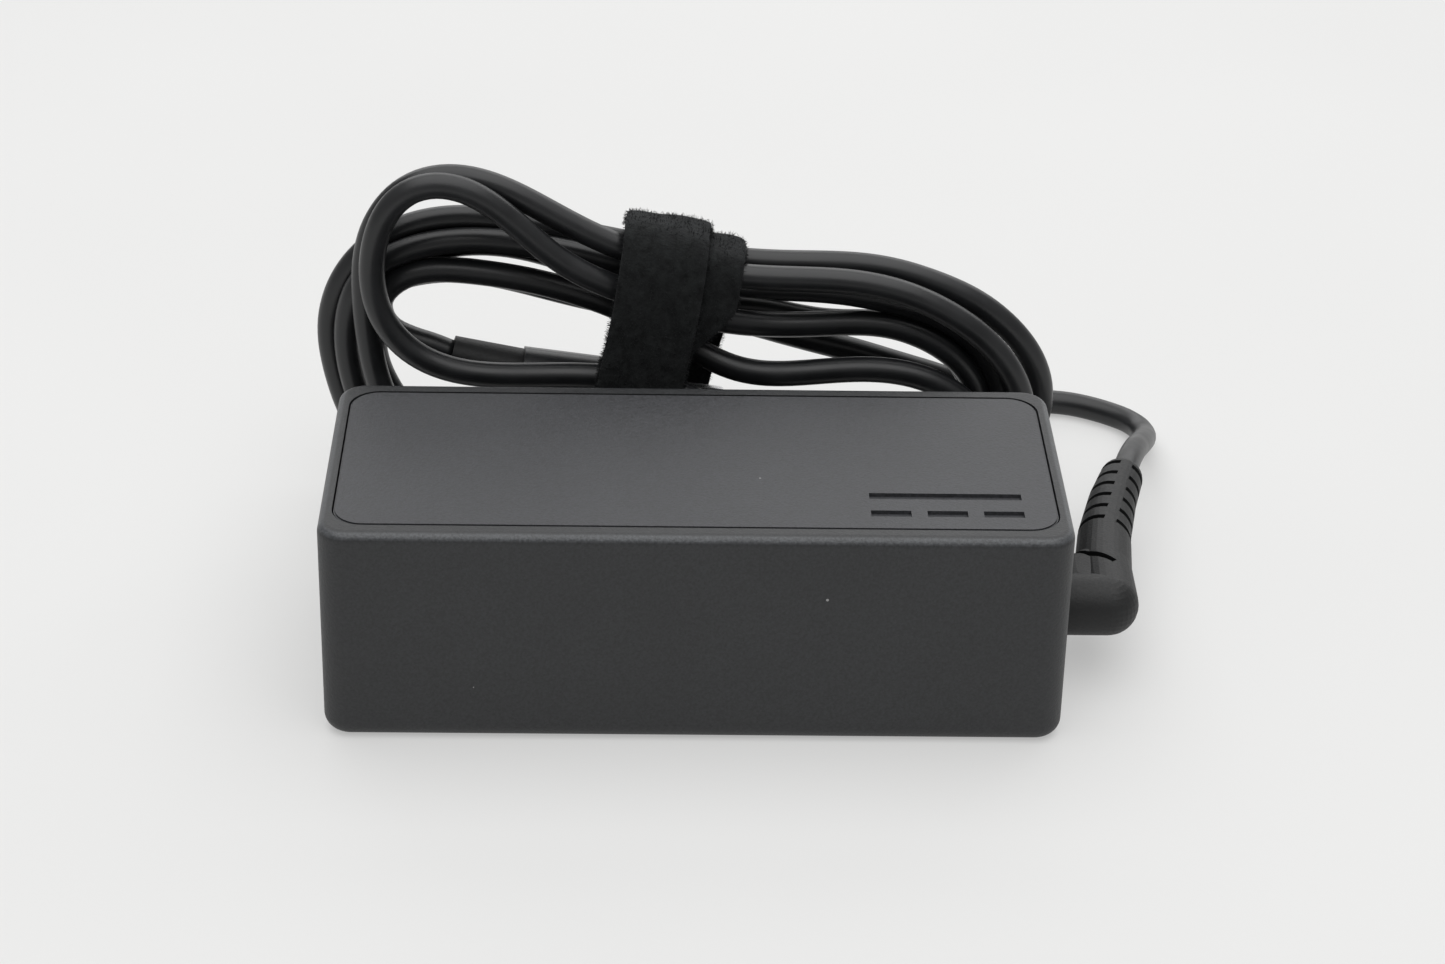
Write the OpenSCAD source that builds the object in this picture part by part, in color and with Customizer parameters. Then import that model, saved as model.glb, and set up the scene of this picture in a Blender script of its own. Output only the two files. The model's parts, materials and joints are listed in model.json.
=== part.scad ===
// Laptop power adapter with a captive charging cord, put away as a tied hank.
// Origin: middle of the case's underside. +X is the cord end, +Z is up. Millimetres.

/* [Case] */
// Length of the case
case_l = 93; // [92:0.5:96]
// Depth of the case, front to back
case_w = 40.4; // [40:0.2:41.6]
// Height of the case
case_h = 29.5; // [29.3:0.1:30]
// Radius of the upright corners
corner_r = 3.5; // [3:0.1:4]
// Radius of the bottom edges
base_r = 2.2; // [1:0.1:2.6]
// Radius of the top edges
rim_r = 1.3; // [0.6:0.1:1.6]
// Thickness of the walls and the base
wall = 2; // [1.8:0.1:2.2]

/* [Top cover] */
// Distance from the case's end to the cover's edge
cover_end = 1.7; // [1.6:0.1:2]
// Distance from the case's front to the cover's edge
cover_side = 2.6; // [2.4:0.1:3]
// Width of the seam round the cover
seam = 0.2; // [0.2:0.05:0.4]
// Thickness of the cover plate
cover_t = 1.9; // [1.6:0.1:2.2]
// Depth of the direct-current symbol
mark_depth = 0.5; // [0.2:0.1:0.8]

/* [Mains inlet] */
// Spacing of the line and neutral pins
pin_spacing = 10; // [9.8:0.1:10.2]
// Height of the earth pin above the other two
earth_rise = 6.5; // [6:0.1:7]
// Diameter of each pin
pin_d = 2.35; // [2.3:0.05:2.4]
// Length of each pin inside the socket
pin_reach = 10.8; // [9:0.1:11]
// Radius of each lobe of the socket
lobe_r = 3.3; // [3.2:0.1:3.4]
// Depth of the socket
socket_depth = 12.2; // [12:0.1:12.4]

/* [Cord] */
// Diameter of the cord
cord_d = 3.5; // [3.3:0.1:4]
// Radius of the stub that leaves the case
stub_r = 4; // [3.8:0.1:4.2]
// Distance from the front face to the back face of the hank
hank_t = 18; // [16:1:18]
// Height of the hank's left lobe
left_h = 56; // [54:1:58]
// Height of the hank's right lobe
right_h = 43; // [41:1:45]

/* [Strap] */
// Width of the hook-and-loop strap
strap_w = 11.5; // [11:0.5:14]
// Thickness of one layer of the strap
strap_t = 1.5; // [1.2:0.1:1.8]
// Length of the tab that peels open
tab_l = 20; // [16:1:22]

/* [Plug] */
// Width of the plug's grip
grip_w = 12.4; // [12:0.1:12.6]
// Thickness of the plug's grip
grip_t = 6.5; // [6.2:0.1:6.6]
// Length of the plug's grip
grip_l = 21; // [18:1:22]
// Length of the metal shell
shell_l = 6.65; // [6.5:0.05:6.7]

/* [Hidden] */
$fn = 64;
// Overlap that lets a cutter run past the face it cuts
past = 1;

// Case, worked out from the driving sizes
half_l = case_l / 2;
half_w = case_w / 2;
room_l = case_l - 2 * wall;
room_w = case_w - 2 * wall;
cover_l = case_l - 2 * cover_end - seam;
cover_w = case_w - 2 * cover_side - seam;
cover_r = 3.8;
throat_l = cover_l - 2.2;
throat_w = cover_w - 2.2;
cover_z = case_h - cover_t;
ledge_t = 1.4;
room_top = cover_z - ledge_t;

// Board and the parts on it
board_z = 4.4;
board_t = 1.6;
deck = board_z + board_t;
board_x0 = -29.5;
board_x1 = 42.5;
board_w = 33.4;
post_r = 2;
posts = [[-27.8, -5.6], [-27.8, 5.6], [39.5, -14.6], [39.5, 14.6]];
leg_r = 0.35;
leg_drop = 1.2;

// Mains inlet
inlet_z = case_h / 2;
inlet_front = -half_l + 0.3;
inlet_w = 19;
inlet_h = 16;
socket_floor = inlet_front + socket_depth;
inlet_back = socket_floor + 2.6;
pin_low_z = inlet_z - earth_rise / 2;
pin_tip = socket_floor - pin_reach;
pin_tail = 3;
shank_r = 1.45;

// Cord: boot on the right end
exit_y = -2;
exit_z = 9.7;
boot_spine = [[53.7, -2, 9.7], [54, 6, 9.7], [55.3, 15.5, 9.7], [57.5, 25, 9.7], [59.5, 31.6, 9.7]];
boot_r = [4, 3.85, 3.6, 3.3, 3];
web_at = [50.2, 4.4, 9.7];
web_r = 3.2;
slot_count = 6;
slot_pitch = 3.28;
slot_shift = 0.84;
slot_half = 0.8;
slot_w = 1;
slot_yaw = -20;
slot_start = [55.6, 14.1];

// Free stretch of cord, from the boot round to the back of the hank
lead_route = [
    [60.2, 33.6, 9.7], [61.4, 38, 9.2], [62.9, 43.4, 7.9], [64.4, 48.4, 6.2],
    [65.6, 52.6, 4.6], [66.4, 56.2, 3.2], [66.7, 59.2, 2.3], [66.1, 62.2, 1.9],
    [64.3, 64.8, 1.8], [61.4, 67, 1.8], [58.4, 68.7, 1.8], [55, 69.7, 1.8],
    [51.4, 69.2, 2], [48.4, 66.6, 2.8], [46.4, 62.2, 4.8], [44.6, 57.4, 7.6],
    [42.4, 52.8, 11.2], [39.2, 48.8, 15], [35, 45.8, 18.2]
];
lead_sides = 8;

// Hank and strap
hank_y = 37;
hank_x0 = -52;
hank_x1 = 50.6;
strap_x = -4;
strap_z = 26.8;
strap_tilt = 6;
waist_h = 34;
waist_l = 17;
ring_r = 4;
shoulder_r = 6;
tab_gap = 0.3;
tab_z = 10.6;
tab_t = 1.3;
root_gap = 0.9;

// Plug
plug_start = [-33, 39.6, 24.2];
relief_dip = 15;
grip_dip = 7.5;
grip_roll = -25;
relief_l = 10;
relief_root = 0.6;
relief_r0 = 2.4;
relief_r1 = 3;
grip_start = plug_start + relief_l * [cos(relief_dip), 0, -sin(relief_dip)];
shell_w = 8.25;
shell_t = 2.4;
shell_wall = 0.3;

// ---- shapes that repeat ----

// Rectangle with round corners, centred
module rounded_rect(l, w, r) {
    square([l - 2 * r, w], center = true);
    square([l, w - 2 * r], center = true);
    for (x = [-1, 1], y = [-1, 1])
        translate([x * (l / 2 - r), y * (w / 2 - r)]) circle(r);
}

// Upright plate with round corners, from z0 up
module rounded_plate(l, w, r, z0, h) {
    translate([0, 0, z0]) linear_extrude(h) rounded_rect(l, w, r);
}

// Section through the case: w wide, with its bottom and top edges rounded
module case_section(w) {
    translate([-w / 2, base_r]) square([w, case_h - base_r - rim_r]);
    translate([-w / 2 + base_r, 0]) square([w - 2 * base_r, case_h / 2]);
    translate([-w / 2 + rim_r, case_h / 2]) square([w - 2 * rim_r, case_h / 2]);
    for (side = [-1, 1]) {
        translate([side * (w / 2 - base_r), base_r]) circle(base_r);
        translate([side * (w / 2 - rim_r), case_h - rim_r]) circle(rim_r);
    }
}

// Solid outer form of the case: two extrusions and a turned post in each corner
module case_form() {
    rotate([90, 0, 90]) translate([0, 0, -half_l + corner_r])
        linear_extrude(case_l - 2 * corner_r) case_section(case_w);
    rotate([90, 0, 0]) translate([0, 0, -half_w + corner_r])
        linear_extrude(case_w - 2 * corner_r) case_section(case_l);
    for (x = [-1, 1], y = [-1, 1])
        translate([x * (half_l - corner_r), y * (half_w - corner_r), 0])
            rotate_extrude() intersection() {
                case_section(2 * corner_r);
                square([corner_r + past, case_h]);
            }
}

// Cylinder along +X from x0
module rod_x(x0, l, r) {
    translate([x0, 0, 0]) rotate([0, 90, 0]) cylinder(h = l, r = r);
}

// Box given by its lowest corner and its size
module block(corner, size) {
    translate(corner) cube(size);
}

// Solder legs through the board at the given places, up to height top
module legs(places, top) {
    for (p = places)
        translate([p[0], p[1], board_z - leg_drop]) cylinder(h = top - board_z + leg_drop, r = leg_r, $fn = 24);
}

// Holes in the board for the solder legs of every part
module leg_holes(places) {
    for (p = places)
        translate([p[0], p[1], board_z - past]) cylinder(h = board_t + 2 * past, r = leg_r + 0.05, $fn = 24);
}

// Radial can standing on the board
module can(x, y, r, h) {
    translate([x, y, deck + 0.3]) {
        cylinder(h = h - 0.5, r = r);
        cylinder(h = h, r = r - 0.6);
    }
}

// Plan of a stadium: w long along X, t across
module stadium(w, t) {
    square([w - t, t], center = true);
    for (side = [-1, 1]) translate([side * (w - t) / 2, 0]) circle(t / 2);
}

// Stadium section swept along +X, wide along Y
module stadium_x(w, t, x0, l) {
    translate([x0, 0, 0]) rotate([90, 0, 90]) linear_extrude(l) stadium(w, t);
}

// Where the legs of the through-hole parts stand
fuse_legs = [[-26.5, -14], [-26.5, -9.5]];
thermistor_legs = [[-27.6, 9], [-27.6, 14]];
x_cap_legs = [[-20.8, -13.6], [-20.8, -5]];
choke_legs = [[-24, 4], [-24, 13], [-13, 4], [-13, 13]];
bridge_legs = [[-8, 4], [-5.4, 4], [-2.6, 4], [0, 4]];
bulk_legs = [[-15, -11.5], [-15, -6.5]];
transistor_legs = [[0.5, 8.4], [3, 8.4], [5.5, 8.4]];
supply_legs = [[-6, 12.9], [-6, 15.3]];
y_cap_legs = [[-0.5, 14], [4.5, 14]];
transformer_legs = [for (x = [15, 19.7, 24.3, 29], y = [-7.6, 7.6]) [x, y]];
output_legs = [for (y = [-10.6, 10.6], s = [-1.5, 1.5]) [38, y + s]];
inductor_legs = [[26, -13.2], [31, -13.2]];
dc_pads = [[37, -4], [37, 0]];
ac_pads = [[-26.2, -5], [-26.2, 5]];
earth_pad = [-24.6, 0];

// ---- case ----

module housing_tub() {
    color("#3b3c3f") difference() {
        union() {
            difference() {
                case_form();
                rounded_plate(room_l, room_w, corner_r - wall / 2, wall, room_top - wall);
                rounded_plate(throat_l, throat_w, cover_r - 1, room_top - past, ledge_t + 2 * past);
                rounded_plate(cover_l + 2 * seam, cover_w + 2 * seam, cover_r + seam, cover_z, cover_t + past);
            }
            for (p = posts)
                translate([p[0], p[1], wall - 0.5]) cylinder(h = board_z - wall + 0.5, r = post_r);
        }
        translate([-half_l - past, 0, inlet_z]) rotate([90, 0, 90])
            linear_extrude(wall + 2 * past) rounded_rect(inlet_w, inlet_h, 2);
        translate([0, exit_y, exit_z]) rod_x(half_l - wall - past, wall + 2 * past, stub_r + 0.05);
        rounded_plate(62, 28, 1.5, -past, past + 0.25);
    }
}

// Bar over three dashes: the general symbol for direct current
module direct_current_mark() {
    block([21.5, -10, case_h - mark_depth], [19, 1.5, mark_depth + past]);
    for (i = [0:2])
        block([21.5 + 7 * i, -14.4, case_h - mark_depth], [5, 1.5, mark_depth + past]);
}

module top_cover() {
    skirt_w = 1.2;
    skirt_h = 2.2;
    color("#434447") difference() {
        union() {
            rounded_plate(cover_l, cover_w, cover_r, cover_z, cover_t - 0.2);
            rounded_plate(cover_l - 0.4, cover_w - 0.4, cover_r - 0.2, cover_z, cover_t);
            difference() {
                rounded_plate(throat_l - 0.2, throat_w - 0.2, cover_r - 1.1, cover_z - skirt_h, skirt_h);
                rounded_plate(throat_l - 2 * skirt_w, throat_w - 2 * skirt_w, cover_r - 2,
                    cover_z - skirt_h - past, skirt_h + past);
            }
        }
        direct_current_mark();
    }
}

module rating_label() {
    color("#c9cacb") rounded_plate(61.6, 27.6, 1.3, 0.1, 0.15);
}

// ---- mains inlet ----

// Places of the three pins: [y, z]
pin_line_at = [-pin_spacing / 2, pin_low_z];
pin_neutral_at = [pin_spacing / 2, pin_low_z];
pin_earth_at = [0, pin_low_z + earth_rise];

module socket_outline() {
    for (p = [pin_line_at, pin_neutral_at, pin_earth_at]) translate(p) circle(lobe_r);
    polygon([pin_line_at, pin_neutral_at, pin_earth_at]);
    translate([-pin_spacing / 2, pin_low_z - lobe_r]) square([pin_spacing, lobe_r]);
}

module inlet_body() {
    flange = 1.2;
    color("#1d1d1f") difference() {
        union() {
            translate([inlet_front, 0, inlet_z]) rotate([90, 0, 90])
                linear_extrude(inlet_back - inlet_front) rounded_rect(inlet_w - 0.2, inlet_h - 0.2, 1.9);
            translate([-half_l + wall, 0, inlet_z]) rotate([90, 0, 90])
                linear_extrude(flange) rounded_rect(inlet_w + 3, inlet_h + 3, 2.5);
        }
        translate([inlet_front - past, 0, 0]) rotate([90, 0, 90])
            linear_extrude(socket_depth + past) socket_outline();
        for (p = [pin_line_at, pin_neutral_at, pin_earth_at])
            translate([0, p[0], p[1]]) rod_x(socket_floor - past, 5, shank_r);
    }
}

// Round contact pin with a domed tip, a thicker moulded-in shank and a thin solder tail
module inlet_pin(at) {
    r = pin_d / 2;
    color("#b9bbbd") translate([0, at[0], at[1]]) {
        rod_x(pin_tip + r, socket_floor - pin_tip - r + 0.5, r);
        translate([pin_tip + r, 0, 0]) sphere(r);
        rod_x(socket_floor, inlet_back - socket_floor + 0.5, shank_r);
        rod_x(inlet_back, pin_tail, r * 0.55);
    }
}

module inlet_pin_line() { inlet_pin(pin_line_at); }
module inlet_pin_neutral() { inlet_pin(pin_neutral_at); }
module inlet_pin_earth() { inlet_pin(pin_earth_at); }

// Insulated wire from a pin's tail along X, then down to its pad
module pin_wire(at, pad, r) {
    x0 = inlet_back + 0.7;
    bend = 1.6;
    drop = at[1] - bend - deck;
    translate([0, at[0], 0]) {
        translate([0, 0, at[1]]) difference() {
            rod_x(x0, pad[0] - bend - x0, r);
            rod_x(x0 - past, pin_tail + past, pin_d * 0.275 + 0.02);
        }
        translate([pad[0] - bend, 0, at[1] - bend]) rotate([90, 0, 0])
            rotate_extrude(angle = 90) translate([bend, 0]) circle(r, $fn = 32);
        translate([pad[0], 0, deck]) cylinder(h = drop, r = r, $fn = 32);
    }
}

module ac_leads() {
    color("#2a2a2c") {
        pin_wire(pin_line_at, ac_pads[0], 0.9);
        pin_wire(pin_neutral_at, ac_pads[1], 0.9);
    }
}

module earth_lead() {
    color("#7fa23a") pin_wire(pin_earth_at, earth_pad, 0.9);
}

// ---- board, liner and heat spreader ----

module insulating_liner() {
    t = 0.35;
    h = 20;
    w = room_w - 0.6;
    l = room_l / 2 - corner_r - board_x0;
    color("#d9d6c8") difference() {
        union() {
            block([board_x0, -w / 2, wall + 0.05], [l, w, t]);
            for (side = [0, 1])
                block([board_x0, side ? w / 2 - t : -w / 2, wall + 0.05], [l, t, h]);
        }
        for (p = posts) translate([p[0], p[1], 0]) cylinder(h = 5, r = post_r + 0.3);
    }
}

// Folded aluminium sheet over the warm parts, open at both ends
module heat_spreader() {
    t = 0.8;
    w = room_w - 1.8;
    top = 24.9;
    foot = deck;
    x0 = -22;
    x1 = 41;
    color("#a9abad") difference() {
        block([x0, -w / 2, foot], [x1 - x0, w, top - foot]);
        block([x0 - past, -w / 2 + t, foot - past], [x1 - x0 + 2 * past, w - 2 * t, top - foot - t + past]);
    }
}

module top_insulation() {
    color("#e2dfd2") block([-23, -15.4, 24.95], [64.5, 30.8, 0.3]);
}

module circuit_board() {
    color("#2f6b45") difference() {
        block([board_x0, -board_w / 2, board_z], [board_x1 - board_x0, board_w, board_t]);
        leg_holes(fuse_legs);
        leg_holes(thermistor_legs);
        leg_holes(x_cap_legs);
        leg_holes(choke_legs);
        leg_holes(bridge_legs);
        leg_holes(bulk_legs);
        leg_holes(transistor_legs);
        leg_holes(supply_legs);
        leg_holes(y_cap_legs);
        leg_holes(transformer_legs);
        leg_holes(output_legs);
        leg_holes(inductor_legs);
    }
}

// ---- mains side ----

module fuse() {
    color("#2b2b2b") {
        block([-28.5, -16, deck + 0.3], [4, 8.5, 8]);
        legs(fuse_legs, deck + 0.3);
    }
}

module inrush_thermistor() {
    color("#4d5a3c") {
        translate([0, 11.5, deck + 4.8]) rod_x(-29, 2.8, 4);
        legs(thermistor_legs, deck + 2.6);
    }
}

module x_capacitor() {
    color("#d8b52e") {
        block([-23.6, -15.8, deck + 0.3], [5.8, 13, 11.5]);
        legs(x_cap_legs, deck + 0.3);
    }
}

module y_capacitor() {
    color("#3b6fb0") {
        translate([2, 15.8, deck + 5]) rotate([90, 0, 0]) cylinder(h = 3.4, r = 3.9);
        legs(y_cap_legs, deck + 2.4);
    }
}

choke_at = [-18.5, 8.5, deck + 4.4];
choke_inner = 3.4;
choke_outer = 6;
choke_h = 5;

module choke_core() {
    color("#3a4a3f") translate(choke_at) rotate_extrude()
        translate([choke_inner, -choke_h / 2]) square([choke_outer - choke_inner, choke_h]);
}

// Two half windings round the ring core, with their legs
module choke_windings() {
    wire = 0.9;
    color("#b5652a") {
        for (start = [25, 205])
            translate(choke_at) rotate([0, 0, start]) rotate_extrude(angle = 130) difference() {
                translate([choke_inner - wire, -choke_h / 2 - wire])
                    square([choke_outer - choke_inner + 2 * wire, choke_h + 2 * wire]);
                translate([choke_inner, -choke_h / 2]) square([choke_outer - choke_inner, choke_h]);
            }
        for (p = choke_legs)
            translate([p[0], p[1], board_z - leg_drop]) cylinder(h = 4, r = leg_r, $fn = 24);
    }
}

module bridge_rectifier() {
    color("#232325") {
        block([-9.2, 2.6, deck + 1], [10.4, 2.8, 9]);
        legs(bridge_legs, deck + 1);
    }
}

bulk_r = 7.4;

module bulk_capacitor() {
    axis_z = deck + bulk_r + 0.2;
    color("#2c3a52") {
        translate([0, -9, axis_z]) {
            rod_x(-12.6, 21.6, bulk_r);
            rod_x(-13.4, 23, bulk_r - 0.7);
        }
        for (p = bulk_legs) {
            translate([0, p[1], axis_z]) rod_x(p[0], 1.7, leg_r);
            translate([p[0], p[1], board_z - leg_drop])
                cylinder(h = axis_z - board_z + leg_drop, r = leg_r, $fn = 24);
        }
    }
}

module switching_transistor() {
    color("#1f1f21") {
        block([-2, 5.9, deck + 3.4], [10, 4.1, 9]);
        legs(transistor_legs, deck + 3.4);
    }
}

module heat_sink() {
    color("#8f9295") {
        block([-9.5, 10.05, deck], [19, 1.4, 16]);
        for (x = [-9.5, 8.1]) block([x, 10.05, deck], [1.4, 4, 16]);
    }
}

module supply_capacitor() {
    color("#33415a") {
        can(-5.2, 13.9, 2.4, 10);
        legs(supply_legs, deck + 0.3);
    }
}

// ---- transformer ----

transformer_at = [22, 0];
core_l = 23;
core_w = 12;
core_plate = 3;
core_low = deck + 1.6;
core_half = 7.8;
core_mid = core_low + core_half;
centre_leg_r = 3.9;
window_r = 8.1;

// One E-shaped ferrite half, standing on its plate
module core_half_form() {
    block([-core_l / 2, -core_w / 2, 0], [core_l, core_w, core_plate]);
    for (x = [-core_l / 2, core_l / 2 - 3]) block([x, -core_w / 2, 0], [3, core_w, core_half]);
    cylinder(h = core_half, r = centre_leg_r);
}

module transformer_core_lower() {
    color("#3c3d40") translate([transformer_at[0], transformer_at[1], core_low]) core_half_form();
}

module transformer_core_upper() {
    color("#3c3d40") translate([transformer_at[0], transformer_at[1], core_low + 2 * core_half])
        mirror([0, 0, 1]) core_half_form();
}

bobbin_h = 2 * (core_half - core_plate) - 0.2;
bobbin_z = core_low + core_plate + 0.1;
flange_t = 0.8;
tube_r = 4.7;
winding_r = 7.5;

module transformer_bobbin() {
    color("#27272a") {
        translate([transformer_at[0], transformer_at[1], bobbin_z]) difference() {
            union() {
                cylinder(h = bobbin_h, r = tube_r);
                for (z = [0, bobbin_h - flange_t]) translate([0, 0, z]) cylinder(h = flange_t, r = window_r);
            }
            translate([0, 0, -past]) cylinder(h = bobbin_h + 2 * past, r = centre_leg_r + 0.1);
        }
        for (side = [-1, 1])
            translate([transformer_at[0] - 8.2, side * 7.5 - 1, deck])
                cube([16.4, 2, bobbin_z + flange_t - deck]);
        legs(transformer_legs, deck);
    }
}

module transformer_winding() {
    color("#b06a30") translate([transformer_at[0], transformer_at[1], bobbin_z + flange_t])
        rotate_extrude() translate([tube_r, 0]) square([winding_r - tube_r, bobbin_h - 2 * flange_t]);
}

module transformer_tape() {
    color("#e0c437") translate([transformer_at[0], transformer_at[1], bobbin_z + flange_t])
        rotate_extrude() translate([winding_r, 0]) square([0.4, bobbin_h - 2 * flange_t]);
}

// ---- low-voltage side ----

module optocoupler() {
    color("#e8e8e6") block([13, 10.8, deck + 0.4], [6.4, 4.6, 3.4]);
    color("#9c9c9c") for (x = [14, 17.6], y = [10, 15.4])
        block([x, y, deck], [0.8, 0.8, 2.2]);
}

module output_rectifier() {
    color("#222224") block([22, 11.2, deck], [6, 5, 1.2]);
}

module port_controller() {
    color("#242427") block([29, 11.4, deck], [4.4, 4.4, 0.9]);
}

module output_capacitors() {
    color("#39506e") {
        for (y = [-10.6, 10.6]) can(38, y, 3.9, 12);
        legs(output_legs, deck + 0.3);
    }
}

module output_inductor() {
    color("#4b4c4f") {
        translate([28.5, -12.6, deck + 0.3]) {
            cylinder(h = 1.2, r = 3.7);
            cylinder(h = 7, r = 2.6);
            translate([0, 0, 5.8]) cylinder(h = 1.2, r = 3.7);
        }
        legs(inductor_legs, deck + 0.3);
    }
}

// Two insulated wires from the end of the boot down to their pads
module dc_leads() {
    r = 0.7;
    color("#7a2323") for (p = dc_pads) {
        translate([0, p[1], exit_z]) rod_x(p[0], half_l - wall - 1.6 - p[0], r);
        translate([p[0], p[1], exit_z]) sphere(r, $fn = 32);
        translate([p[0], p[1], deck]) cylinder(h = exit_z - deck, r = r, $fn = 32);
    }
}

// ---- cord ----

// Right-angle strain relief: flange inside the wall, stub, elbow and a slotted arm
module cord_boot() {
    color("#2f3032") difference() {
        union() {
            translate([0, exit_y, exit_z]) rod_x(half_l - wall - 1.6, 1.5, 6);
            translate([0, exit_y, exit_z])
                rod_x(half_l - wall - 0.2, boot_spine[0][0] - half_l + wall + 0.2, stub_r);
            for (i = [0:len(boot_spine) - 2]) hull() {
                translate(boot_spine[i]) sphere(boot_r[i], $fn = 32);
                translate(boot_spine[i + 1]) sphere(boot_r[i + 1], $fn = 32);
            }
            // web that fills the inside of the elbow
            hull() {
                translate([web_at[0], exit_y, exit_z]) sphere(web_r, $fn = 32);
                translate(web_at) sphere(web_r, $fn = 32);
                translate(boot_spine[1] + [0, 1, 0]) sphere(3.4, $fn = 32);
            }
        }
        translate([52.8, 4.7, exit_z + 2.2]) rotate([0, 0, -41]) translate([-3.6, -0.5, 0]) cube([6.4, 1, 4]);
        for (i = [0:slot_count - 1], side = [-1, 1])
            translate([slot_start[0] + slot_shift * i, slot_start[1] + slot_pitch * i, exit_z])
                rotate([0, 0, slot_yaw])
                translate([side > 0 ? slot_half : -slot_half - 5, 0, -0.4]) cube([5, slot_w, 5]);
    }
}

// Radius of the tube's ring i, and its directions
function along(p, i) = let (n = len(p) - 1, d = p[min(i + 1, n)] - p[max(i - 1, 0)]) d / norm(d);
function sideways(d) = let (s = cross(d, [0, 0, 1])) s / norm(s);
function ring(p, i, r, n) = let (d = along(p, i), s = sideways(d), u = cross(s, d))
    [for (k = [0:n - 1]) p[i] + r * (cos(360 * k / n) * s + sin(360 * k / n) * u)];

// Closed tube of n sides along the points p
module tube(p, r, n) {
    m = len(p);
    polyhedron(
        points = [for (i = [0:m - 1]) each ring(p, i, r, n)],
        faces = [
            [for (k = [0:n - 1]) k],
            [for (k = [n - 1:-1:0]) (m - 1) * n + k],
            for (i = [0:m - 2], k = [0:n - 1])
                [i * n + k, (i + 1) * n + k, (i + 1) * n + (k + 1) % n, i * n + (k + 1) % n]
        ]
    );
}

module cord_lead() {
    color("#333437") tube(lead_route, cord_d / 2, lead_sides);
}

// Outline of the hank from the front: two lobes and the waist under the strap
module hank_outline() {
    lobe = 14;
    offset(r = lobe, $fn = 48) polygon([
        [hank_x0 + lobe + 1.5, lobe], [hank_x0 + lobe, 24], [hank_x0 + lobe + 3, left_h - lobe - 3],
        [-33, left_h - lobe], [-24, 30], [-24, lobe + 4]
    ]);
    offset(r = lobe, $fn = 48) polygon([
        [14, lobe + 6], [16, right_h - lobe], [hank_x1 - lobe - 4, right_h - lobe - 4],
        [hank_x1 - lobe, 20], [hank_x1 - lobe - 3, lobe]
    ]);
    waist();
}

module waist() {
    translate([strap_x, strap_z]) rotate(-strap_tilt) square([waist_l, waist_h], center = true);
}

// Outline of the strap's opening, grown evenly: Y across, Z up, rounder at the top
module waist_ring(grow) {
    hull() for (side = [-1, 1]) {
        translate([side * (hank_t / 2 - shoulder_r), waist_h / 2 - shoulder_r])
            circle(shoulder_r + grow, $fn = 48);
        translate([side * (hank_t / 2 - ring_r), ring_r - waist_h / 2])
            circle(ring_r + grow, $fn = 48);
    }
}

// One layer of the strap, its inner face grown by g from the opening
module band(g) {
    rotate([90, 0, 90]) linear_extrude(strap_w, center = true) difference() {
        waist_ring(g + strap_t);
        waist_ring(g);
    }
}

module at_strap() {
    translate([strap_x, hank_y, strap_z]) rotate([0, strap_tilt, 0]) children();
}

module at_relief() {
    translate(plug_start) rotate([0, relief_dip, 0]) children();
}

module at_grip() {
    translate(grip_start) rotate([0, grip_dip, 0]) rotate([grip_roll, 0, 0]) children();
}

module cord_hank() {
    color("#2d2e30") difference() {
        translate([0, hank_y + hank_t / 2, 0]) rotate([90, 0, 0]) linear_extrude(hank_t) hank_outline();
        at_strap() difference() {
            cube([strap_w, hank_t + 2 * past, 2 * left_h], center = true);
            rotate([90, 0, 90]) linear_extrude(strap_w + past, center = true) waist_ring(0);
        }
        relief_form();
        at_grip() {
            stadium_x(grip_w, grip_t, 0, grip_l);
            stadium_x(shell_w, shell_t, grip_l, shell_l);
        }
    }
}

module strap() {
    color("#17181a") at_strap() {
        band(0);
        // second layer up the front, over the top and down to the tab's root
        intersection() {
            band(strap_t);
            union() {
                translate([-strap_w, -hank_t, -2.2]) cube([2 * strap_w, hank_t, waist_h]);
                translate([-strap_w, -hank_t, tab_z + root_gap]) cube([2 * strap_w, 2 * hank_t, waist_h]);
            }
        }
    }
}

// Loose end of the strap, hanging down the back from its root
module strap_tab() {
    back = hank_t / 2 + strap_t + tab_gap;
    color("#1b1c1e") at_strap()
        translate([-strap_w / 2, back, tab_z - tab_l]) cube([strap_w, tab_t, tab_l]);
}

// ---- plug ----

// Tapered sleeve with a short root that the grip is moulded round
module relief_form() {
    at_relief() rotate([0, 90, 0]) {
        cylinder(h = relief_l, r1 = relief_r0, r2 = relief_r1);
        translate([0, 0, relief_l]) cylinder(h = relief_root, r = relief_r1);
    }
}

module plug_relief() {
    color("#2b2c2e") relief_form();
}

module plug_grip() {
    color("#303134") difference() {
        at_grip() stadium_x(grip_w, grip_t, 0, grip_l);
        relief_form();
    }
}

module plug_shell() {
    color("#b4b6b8") at_grip() difference() {
        stadium_x(shell_w, shell_t, grip_l, shell_l);
        stadium_x(shell_w - 2 * shell_wall, shell_t - 2 * shell_wall, grip_l, shell_l + past);
    }
}

// Black liner inside the metal shell, with the mouth for the socket's tongue
module plug_insert() {
    gap = 0.7;
    color("#151517") at_grip() difference() {
        stadium_x(shell_w - 2 * shell_wall, shell_t - 2 * shell_wall, grip_l, shell_l - 0.3);
        translate([grip_l + 1.5, -3.3, -gap / 2]) cube([shell_l, 6.6, gap]);
    }
}

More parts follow.
